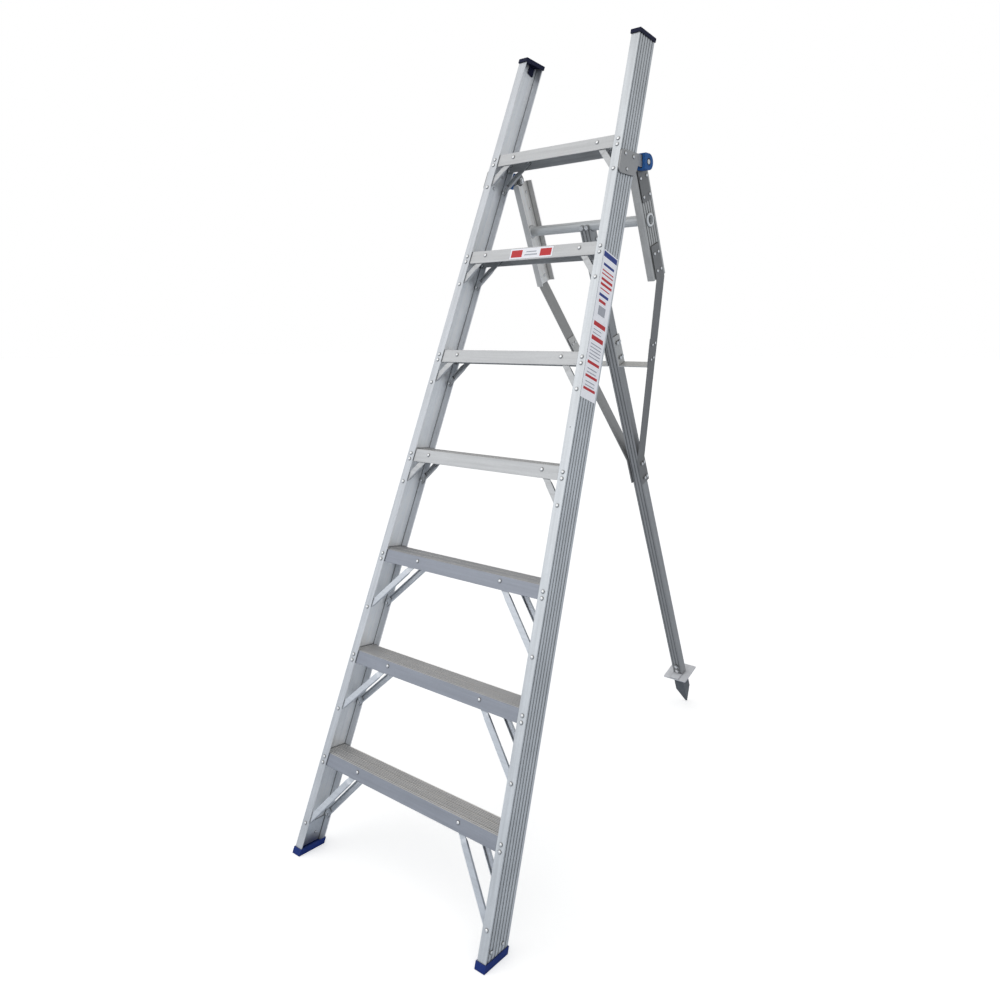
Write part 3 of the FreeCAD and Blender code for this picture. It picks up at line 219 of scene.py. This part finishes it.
def metal(name, grain, base, metallic, roughness, streak=0.07, corner_shade=0.42, edge_highlight_and_wear=0.16,
          bevel=0.6 * MM, other=None, other_way=UPWARD):
    """Rolled or extruded metal: die lines along the grain, cloudy oxide, fine scratches, painted shade in
    corners and grooves, and edges lightened by painted highlight with some wear.

    The faces that look the other way may have a colour of their own, such as the paler, warmer tops of
    treads, and painted light on the inner faces of the left stile and left rear channel and on the right
    end of the tube.
    """
    graph = Graph.of_material(name)
    askew = grain.cross(Vector((0.5, 0.3, 0.8))).normalized()
    lines = graph.noise(graph.aligned(grain, (1.0, 1.0, 0.012)), 900.0, 2.0)
    bands = graph.noise(graph.aligned(grain, (1.0, 1.0, 0.03)), 120.0, 3.0)
    clouds = graph.noise(graph.coordinates, 9.0, 4.0, 0.6, 0.4)
    specks = graph.noise(graph.coordinates, 260.0, 3.0, 0.6)
    scuffs = graph.noise(graph.aligned(askew, (1.0, 1.0, 0.05)), 240.0, 2.0)
    normal, edge = graph.rounded(bevel)
    shade = graph.math("MULTIPLY", graph.spread(clouds, 0.94, 1.06),
                       graph.spread(bands, 1 - streak, 1 + streak))
    shade = graph.math("MULTIPLY", shade, graph.spread(specks, 0.97, 1.03))
    # Painted shade in corners and grooves.
    shade = graph.math("MULTIPLY", shade, graph.painted_shade(4 * MM, corner_shade, 0.5, 0.98))
    # Edges lighter: painted highlight, with some wear.
    shade = graph.math("ADD", shade, graph.math("MULTIPLY", edge, edge_highlight_and_wear))
    plain = rgba(base)
    # Faces that look one way get their own colour: painted light on the left stile, the left rear channel
    # and the tube's end; a paler, warmer top on the treads.
    if other:
        turned = graph.spread(graph.facing(other_way), 0.0, 1.0, 0.75, 0.93)
        plain = graph.mix(turned, rgba(base), rgba(other))
    colour = graph.tint(plain, shade)
    rough = graph.math("ADD", graph.spread(lines, -0.06, 0.08), roughness)
    rough = graph.math("ADD", rough, graph.spread(clouds, -0.05, 0.07))
    rough = graph.math("ADD", rough, graph.spread(scuffs, 0.0, 0.12, 0.62, 0.72))
    rough = graph.math("SUBTRACT", rough, graph.math("MULTIPLY", edge, 0.12))
    height = graph.math("ADD", lines, graph.spread(scuffs, 0.0, -0.5, 0.64, 0.72))
    return graph.finish(colour, metallic, rough, graph.bump(height, 0.12, 0.15 * MM, normal))


def fastener(name, axis, base, roughness, spangle, corner_shade, reach=6 * MM, rim_shade=0.1):
    """Bright fasteners: faint crystals, dull patches, and painted shade round the rim of each domed head.
    """
    graph = Graph.of_material(name)
    cells = graph.add("ShaderNodeTexVoronoi", {"Vector": graph.coordinates, "Scale": 160.0})
    value = graph.add("ShaderNodeSeparateColor", {"Color": cells.outputs["Color"]}).outputs[0]
    clouds = graph.noise(graph.coordinates, 22.0, 4.0, 0.6, 0.5)
    specks = graph.noise(graph.coordinates, 420.0, 3.0, 0.6)
    normal, edge = graph.rounded(0.5 * MM)
    shade = graph.math("MULTIPLY", graph.spread(value, 1 - spangle, 1 + spangle, 0.0, 1.0),
                       graph.spread(clouds, 0.9, 1.08))
    # Edges lighter: painted highlight, with some wear.
    shade = graph.math("ADD", shade, graph.math("MULTIPLY", edge, 0.2))
    # Painted shade in the seat round each head.
    shade = graph.math("MULTIPLY", shade, graph.painted_shade(reach, corner_shade))
    # Painted shade: the sloping rim of each domed head is darker than its crown.
    painted_rim_shade = graph.spread(graph.math("ABSOLUTE", graph.facing(axis)), rim_shade, 1.0, 0.55, 0.9)
    shade = graph.math("MULTIPLY", shade, painted_rim_shade)
    rough = graph.math("ADD", graph.spread(specks, -0.07, 0.09), roughness)
    rough = graph.math("SUBTRACT", rough, graph.math("MULTIPLY", edge, 0.1))
    return graph.finish(graph.tint(rgba(base), shade), 0.9, rough,
                        graph.bump(specks, 0.15, 0.2 * MM, normal))


def coated(name, base, worn, roughness):
    """Paint or powder coat on steel, rubbed through along the edges and chipped in places."""
    graph = Graph.of_material(name)
    clouds = graph.noise(graph.coordinates, 16.0, 4.0, 0.6, 0.5)
    peel = graph.noise(graph.coordinates, 520.0, 2.0)
    pits = graph.noise(graph.coordinates, 75.0, 5.0, 0.7, 0.8)
    chipped = graph.spread(pits, 0.0, 1.0, 0.68, 0.70)
    normal, edge = graph.rounded(0.8 * MM)
    rubbed = graph.math("MULTIPLY", edge, graph.spread(clouds, 0.2, 1.0))
    bare = graph.math("MINIMUM", graph.math("ADD", rubbed, chipped), 1.0)
    # Painted shade in corners and grooves.
    shade = graph.math("MULTIPLY", graph.spread(clouds, 0.88, 1.1), graph.painted_shade(8 * MM, 0.55))
    colour = graph.tint(graph.mix(bare, rgba(base), rgba(worn)), shade)
    rough = graph.math("ADD", graph.spread(peel, -0.05, 0.06), roughness)
    height = graph.math("SUBTRACT", peel, bare)
    return graph.finish(colour, graph.math("MULTIPLY", bare, 0.7), rough,
                        graph.bump(height, 0.2, 0.2 * MM, normal))


def plastic(name, base, roughness, pale):
    """Moulded plastic: fine grain, cloudy sheen, paler on rubbed edges, faint scuffs."""
    graph = Graph.of_material(name)
    clouds = graph.noise(graph.coordinates, 30.0, 4.0, 0.6, 0.4)
    grain = graph.noise(graph.coordinates, 900.0, 2.0)
    scuffs = graph.noise(graph.aligned(unit(0.4, 0.5, 0.77), (1.0, 1.0, 0.06)), 300.0, 2.0)
    normal, edge = graph.rounded(1.2 * MM)
    rubbed = graph.math("MULTIPLY", edge, graph.spread(clouds, 0.1, pale))
    scraped = graph.spread(scuffs, 0.0, 0.12, 0.62, 0.75)
    lighter = graph.math("MINIMUM", graph.math("ADD", rubbed, scraped), 1.0)
    paler = tuple(0.55 * channel + 0.32 for channel in base)
    # Painted shade in corners and grooves.
    shade = graph.math("MULTIPLY", graph.spread(clouds, 0.85, 1.12), graph.painted_shade(6 * MM, 0.6))
    colour = graph.tint(graph.mix(lighter, rgba(base), rgba(paler)), shade)
    rough = graph.math("ADD", graph.spread(clouds, -0.06, 0.08), roughness)
    rough = graph.math("ADD", rough, scraped)
    return graph.finish(colour, 0.0, rough, graph.bump(grain, 0.12, 0.1 * MM, normal),
                        **{"Specular IOR Level": 0.22})


def vinyl(name, base, glow=0.0):
    """Printed vinyl sheet: slight yellowing, dust and gloss changes; a bright film glows a little, which is
    painted light.
    """
    graph = Graph.of_material(name)
    clouds = graph.noise(graph.coordinates, 60.0, 4.0, 0.6)
    specks = graph.noise(graph.coordinates, 700.0, 2.0)
    shade = graph.math("MULTIPLY", graph.spread(clouds, 0.93, 1.03), graph.spread(specks, 0.97, 1.02))
    rough = graph.spread(clouds, 0.27, 0.47)
    return graph.finish(graph.tint(rgba(base), shade), 0.0, rough, graph.bump(clouds, 0.08, 0.2 * MM),
                        **{"Emission Color": rgba(base), "Emission Strength": glow})


# A paler, warmer colour for the upward faces of the treads.
PALE_TOP = (0.80, 0.775, 0.745)
# The near white of the tube's right end: painted light.
LIT_TUBE_END = (0.98, 0.98, 0.98)
REAR = dict(base=(0.60, 0.60, 0.59), metallic=0.7, roughness=0.46)
STRAP = dict(metallic=0.75, roughness=0.5, streak=0.05, bevel=0.9 * MM)
TREAD = dict(metallic=0.75, roughness=0.46, corner_shade=0.1, other=PALE_TOP)

# The settings of each finish. Most are named after the slots of the CAD record. Darkening in corners and
# grooves is painted shade.
# Lightening of edges is painted highlight with some wear.
METALS = {
    "profile": dict(base=(0.73, 0.755, 0.78), metallic=0.75, roughness=0.42, corner_shade=0.24),
    # The left stile: a darker copy of the profile finish, painted shade, with painted light on its inner
    # faces that look across to the right.
    "lit_and_shaded_left_profile": dict(base=(0.68, 0.70, 0.73), metallic=0.72, roughness=0.42, corner_shade=0.3,
                         other=(0.97, 0.985, 1.0), other_way=ACROSS),
    "rear_profile": dict(REAR, corner_shade=0.25),
    # The left rear channel: a lighter copy of the rear finish, painted light, brighter still on its inner
    # faces that look across to the right.
    "lit_left_rear_profile": dict(REAR, base=(0.66, 0.655, 0.64), other=(1.0, 0.98, 0.95), other_way=ACROSS),
    "tread": dict(TREAD, base=(0.62, 0.625, 0.63)),
    # A darker copy of the tread finish for the three lowest treads: painted shade.
    "shaded_low_tread": dict(TREAD, base=(0.385, 0.405, 0.455)),
    "brace": dict(base=(0.72, 0.75, 0.79), metallic=0.8, roughness=0.40, edge_highlight_and_wear=0.3),
    "short_brace": dict(base=(0.57, 0.58, 0.59), metallic=0.8, roughness=0.40, edge_highlight_and_wear=0.7,
                        bevel=1.2 * MM),
    "bracket": dict(base=(0.48, 0.48, 0.48), metallic=0.6, roughness=0.55, streak=0.04, edge_highlight_and_wear=0.9,
                    bevel=1.2 * MM),
    "leg": dict(base=(0.44, 0.445, 0.45), metallic=0.75, roughness=0.47, corner_shade=0.2),
    "strap": dict(STRAP, base=(0.29, 0.29, 0.29), edge_highlight_and_wear=0.5),
    "left_strap": dict(STRAP, base=(0.44, 0.44, 0.435), edge_highlight_and_wear=0.4),
    "cross_strap": dict(STRAP, base=(0.66, 0.66, 0.65), edge_highlight_and_wear=0.5),
    # The tube's end that looks across to the right is painted near white: painted light.
    "tube": dict(base=(0.70, 0.715, 0.72), metallic=0.6, roughness=0.52, edge_highlight_and_wear=0.4, other=LIT_TUBE_END,
                 other_way=ACROSS),
}
# Fasteners carry painted shade in their seats and round the rims of their heads.
FASTENERS = {
    "rivet": dict(base=(0.97, 0.975, 0.98), roughness=0.26, spangle=0.02, corner_shade=0.1, reach=5 * MM),
    "bolt": dict(base=(0.95, 0.95, 0.95), roughness=0.26, spangle=0.04, corner_shade=0.3, rim_shade=0.5),
}
COATINGS = {
    "foot_steel": dict(base=(0.70, 0.71, 0.74), worn=(0.45, 0.44, 0.42), roughness=0.5),
    "spike": dict(base=(0.12, 0.13, 0.145), worn=(0.30, 0.31, 0.33), roughness=0.45),
}
PLASTICS = {
    "cap_plastic": dict(base=(0.009, 0.012, 0.042), roughness=0.60, pale=0.1),
    "navy_plastic": dict(base=(0.010, 0.034, 0.21), roughness=0.46, pale=0.25),
    "blue_plastic": dict(base=(0.026, 0.125, 0.38), roughness=0.45, pale=0.5),
}

# Pieces that look different from the others of their slot.
OWN_FINISH = {
    # The left stile and left rear channel take copies of their finishes with painted light, the stile's
    # also with painted shade.
    "left_stile": "lit_and_shaded_left_profile", "left_rear_channel": "lit_left_rear_profile",
    "right_rear_channel": "rear_profile", "left_diagonal_strap": "left_strap",
    "left_cross_strap": "cross_strap", "right_cross_strap": "cross_strap",
    "short_braces": "short_brace", "left_top_cap": "cap_plastic", "right_top_cap": "cap_plastic",
    # The three lowest treads take the darker copy of the tread finish: painted shade.
    "tread_1": "shaded_low_tread", "tread_2": "shaded_low_tread", "tread_3": "shaded_low_tread",
}


def make_finish(slot, name, grain):
    """A new material for a slot, with the grain along the piece or, for a fastener, along its axis."""
    if slot in METALS:
        return metal(name, grain, **METALS[slot])
    if slot in FASTENERS:
        return fastener(name, grain, **FASTENERS[slot])
    if slot in COATINGS:
        return coated(name, **COATINGS[slot])
    return plastic(name, **PLASTICS[slot])


def dress(nodes):
    """Give every CAD node its finish. Pieces with the same finish and grain share a material."""
    made = {}
    for name, thing in nodes.items():
        slot, grain = OWN_FINISH.get(name, SLOT_OF[name]), GRAIN.get(name, ACROSS)
        key = (slot, tuple(round(value, 3) for value in grain))
        if key not in made:
            made[key] = make_finish(slot, f"{slot}_{len(made)}", grain)
        thing.data.materials.clear()
        thing.data.materials.append(made[key])


dress(NODES)

# ---------------------------------------------------------------- labels

INKS = {
    # The white film glows a little: painted light.
    "white": vinyl("vinyl_white", (0.93, 0.93, 0.97), glow=0.14),
    "red": vinyl("vinyl_red", (0.68, 0.025, 0.03)),
    "blue": vinyl("vinyl_blue", (0.02, 0.05, 0.30)),
    "grey": vinyl("vinyl_grey", (0.52, 0.53, 0.58)),
}


FILM = 0.2 * MM
AIR = 0.05 * MM


def sheet(name, origin, across, up, size, blocks):
    """A thin film with plain printed blocks, each (ink, left, right, bottom, top) as shares of its size."""
    width, height = size
    out = across.cross(up)
    inks = list(INKS)
    columns = sorted({0.0, 1.0, *(edge for block in blocks for edge in block[1:3])})
    rows = sorted({0.0, 1.0, *(edge for block in blocks for edge in block[3:5])})
    mesh = bmesh.new()
    grid = [[mesh.verts.new(origin + across * (column * width) + up * (row * height) + out * (FILM + AIR))
             for column in columns] for row in rows]
    for row in range(len(rows) - 1):
        for column in range(len(columns) - 1):
            face = mesh.faces.new((grid[row][column], grid[row][column + 1],
                                   grid[row + 1][column + 1], grid[row + 1][column]))
            x = (columns[column] + columns[column + 1]) / 2
            y = (rows[row] + rows[row + 1]) / 2
            for ink, left, right, bottom, top in blocks:
                if left < x < right and bottom < y < top:
                    face.material_index = inks.index(ink)
    data = bpy.data.meshes.new(name)
    mesh.to_mesh(data)
    mesh.free()
    for ink in inks:
        data.materials.append(INKS[ink])
    thing = bpy.data.objects.new(name, data)
    bpy.context.scene.collection.objects.link(thing)
    solid = thing.modifiers.new("thickness", "SOLIDIFY")
    solid.thickness = FILM
    solid.offset = -1
    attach(thing, "front_frame")


SKIRT = 36.5 * MM
TREAD_LABEL = (152 * MM, 30 * MM)
TREAD_LABEL_RISE = 3.5 * MM
TREAD_LABEL_OFFSET = 4 * MM
STILE_LABEL = (70 * MM, 401 * MM)
STILE_LABEL_RISE = 223 * MM
STILE_LABEL_INSET = 2 * MM


def bars(ink, left, right, lowest, height, count=1, pitch=0.0):
    """Equal bars one above another, as blocks of a sheet."""
    bottoms = [lowest + step * pitch for step in range(count)]
    return [(ink, left, right, bottom, bottom + height) for bottom in bottoms]


def skirt_bottom(tread, across):
    """The front bottom edge of a tread: its foremost line, one skirt below its highest line."""
    low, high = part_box(tread)
    return Vector((across, low.y, high.z - SKIRT * UP_FRONT.z))


def tread_label():
    """White strip with a red block at each end, on the front of the sixth tread."""
    left = TREAD_LABEL_OFFSET - TREAD_LABEL[0] / 2
    origin = skirt_bottom("tread_6", 0) + UP_FRONT * TREAD_LABEL_RISE + ACROSS * left
    blocks = [("red", 0.03, 0.29, 0.14, 0.86), ("red", 0.71, 0.97, 0.14, 0.86),
              ("grey", 0.35, 0.65, 0.28, 0.42), ("grey", 0.38, 0.62, 0.58, 0.70)]
    sheet("tread_label", origin, ACROSS, UP_FRONT, TREAD_LABEL, blocks)


def stile_label():
    """Long white label on the outer web of the right stile, with a blue head band and plain bars."""
    up = UP_STILE["right"]
    back = unit(0, UP_FRONT.z, -UP_FRONT.y)
    low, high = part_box("right_stile")
    foot = Vector((high.x, low.y, low.z))
    along = (skirt_bottom("tread_4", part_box("tread_4")[1].x) - foot).dot(up)
    origin = foot + up * (along + STILE_LABEL_RISE) + back * STILE_LABEL_INSET
    blocks = [("blue", 0.03, 0.97, 0.955, 0.992)]
    blocks += bars("blue", 0.12, 0.86, 0.898, 0.018)
    blocks += bars("red", 0.10, 0.88, 0.838, 0.009, 2, 0.024)
    blocks += bars("red", 0.12, 0.90, 0.765, 0.018, 2, 0.034)
    blocks += bars("red", 0.14, 0.80, 0.738, 0.008)
    blocks += bars("blue", 0.14, 0.78, 0.692, 0.020)
    blocks += bars("red", 0.18, 0.66, 0.650, 0.020)
    blocks += bars("grey", 0.24, 0.72, 0.568, 0.062)
    for lowest, height in ((0.488, 0.030), (0.392, 0.030), (0.232, 0.020), (0.142, 0.018), (0.058, 0.018)):
        blocks += bars("red", 0.10, 0.90, lowest, height)
    blocks += bars("grey", 0.14, 0.70, 0.436, 0.007, 2, 0.024)
    blocks += bars("grey", 0.12, 0.86, 0.272, 0.008, 5, 0.022)
    blocks += bars("grey", 0.16, 0.80, 0.172, 0.008, 2, 0.024)
    blocks += bars("grey", 0.16, 0.80, 0.086, 0.008, 2, 0.024)
    sheet("stile_label", origin, back, up, STILE_LABEL, blocks)


tread_label()
stile_label()

# ---------------------------------------------------------------- floor, light and camera

WHITE = (1.0, 1.0, 1.0, 1.0)
FLOOR_REACH = 60.0
FLOOR_SEEN = (0.93, 0.93, 0.93)
FLOOR_REFLECTED = (0.62, 0.66, 0.72)
FLOOR_GLOW = 0.45


def pale_floor():
    """A wide floor that the camera sees as pale, and that metal reflects as a duller studio floor."""
    data = bpy.data.meshes.new("floor")
    corners = [(x * FLOOR_REACH, y * FLOOR_REACH, 0) for x, y in ((-1, -1), (1, -1), (1, 1), (-1, 1))]
    data.from_pydata(corners, [], [(0, 1, 2, 3)])
    floor = bpy.data.objects.new("floor", data)
    bpy.context.scene.collection.objects.link(floor)
    floor.location.z = cad_low.z - 0.2 * MM
    graph = Graph.of_material("studio_floor")
    clouds = graph.noise(graph.coordinates, 1.5, 3.0)
    seen = graph.add("ShaderNodeLightPath").outputs["Is Camera Ray"]
    pale = graph.mix(seen, rgba(FLOOR_REFLECTED), rgba(FLOOR_SEEN))
    colour = graph.tint(pale, graph.spread(clouds, 0.99, 1.0))
    glow = graph.math("MULTIPLY", seen, FLOOR_GLOW)
    data.materials.append(graph.finish(colour, 0.0, 0.9, graph.bump(clouds, 0.02, 1 * MM), **{
        "Emission Color": WHITE, "Emission Strength": glow}))


def area_light(name, place, size, power):
    """A square soft light, its size in metres and its power in watts, turned to the ladder's middle."""
    data = bpy.data.lights.new(name, "AREA")
    data.shape = "SQUARE"
    data.size = size
    data.energy = power
    light = bpy.data.objects.new(name, data)
    bpy.context.scene.collection.objects.link(light)
    light.location = place
    light.rotation_euler = (CENTRE - Vector(place)).to_track_quat("-Z", "Y").to_euler()


# The room's colours, each (near the floor, overhead), and the direction of its brighter side.
SKY_FRONT = ((0.80, 0.86, 0.94), (0.86, 0.86, 0.855))
SKY_BACK = ((0.43, 0.48, 0.54), (0.45, 0.45, 0.445))
FRONT = unit(-0.30, -0.94, 0.15)


def studio():
    """White background for the camera; for everything else a soft room that is brighter in front."""
    world = bpy.data.worlds.new("studio")
    bpy.context.scene.world = world
    graph = Graph(world)
    toward_front = graph.dot(graph.direction, FRONT)
    share = graph.spread(toward_front, 0.0, 1.0, -0.55, 0.65, interpolation_type="SMOOTHSTEP")
    height = graph.add("ShaderNodeSeparateXYZ", {0: graph.direction}).outputs["Z"]
    height = graph.spread(height, 0.0, 1.0, -0.05, 0.45)
    back, front = (graph.mix(height, rgba(low), rgba(high)) for low, high in (SKY_BACK, SKY_FRONT))
    seen = graph.add("ShaderNodeLightPath").outputs["Is Camera Ray"]
    colour = graph.mix(seen, graph.mix(share, back, front), WHITE)
    background = graph.add("ShaderNodeBackground", {"Color": colour})
    graph.add("ShaderNodeOutputWorld", {"Surface": background.outputs[0]})
    area_light("key", (-3.0, -5.0, 4.6), 5.0, 26)
    area_light("side", (5.0, 2.5, 1.6), 4.0, 12)
    bpy.context.scene.view_settings.view_transform = "Standard"


# The camera stands to the right in front of the treads; its angles are in degrees, its lens in mm.
CAMERA_PLACE = (1.5236, -2.1296, 1.4671)
CAMERA_TILT = 79.59
CAMERA_TURN = 40.08
LENS = 30.31
LENS_SHIFT = (-0.0056, -0.0081)


def camera():
    data = bpy.data.cameras.new("camera")
    data.sensor_width = 36.0
    data.lens = LENS
    data.shift_x, data.shift_y = LENS_SHIFT
    data.clip_start, data.clip_end = 0.05, 200.0
    thing = bpy.data.objects.new("camera", data)
    bpy.context.scene.collection.objects.link(thing)
    thing.location = CAMERA_PLACE
    thing.rotation_euler = (math.radians(CAMERA_TILT), 0.0, math.radians(CAMERA_TURN))
    bpy.context.scene.camera = thing


pale_floor()
studio()
camera()
